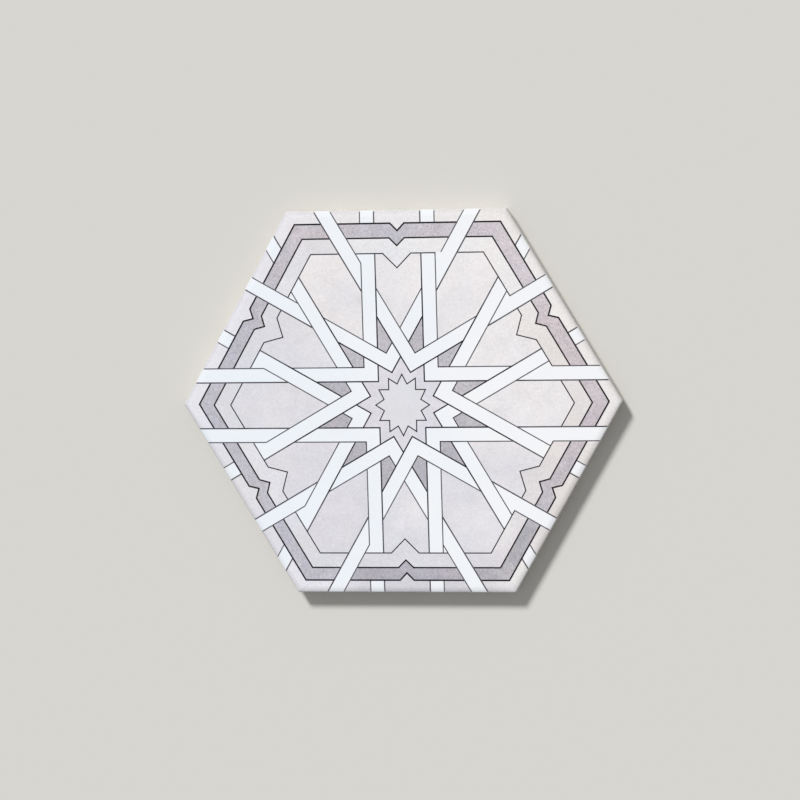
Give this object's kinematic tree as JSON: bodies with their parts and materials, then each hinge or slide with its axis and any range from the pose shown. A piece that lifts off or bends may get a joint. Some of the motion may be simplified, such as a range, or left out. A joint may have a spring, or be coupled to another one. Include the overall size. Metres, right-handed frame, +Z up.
{
  "type": "hexagon floor tile",
  "caption": "Flat hexagonal glazed floor tile with a rounded face edge, a printed strapwork star on the face and a honeycomb of keying pockets in the back.",
  "frame": {"origin": "middle of the bedding plane, on the tile's back", "axes": "+Z up through the glazed face, +X through a corner, two sides parallel to X"},
  "size_m": [0.2304, 0.2, 0.009],
  "materials": {
    "glazed_porcelain": "satin glaze on the face and its edge, bare pressed biscuit on the sides and back"
  },
  "bodies": {
    "root": {"floor_tile": "glazed_porcelain"}
  },
  "joints": []
}
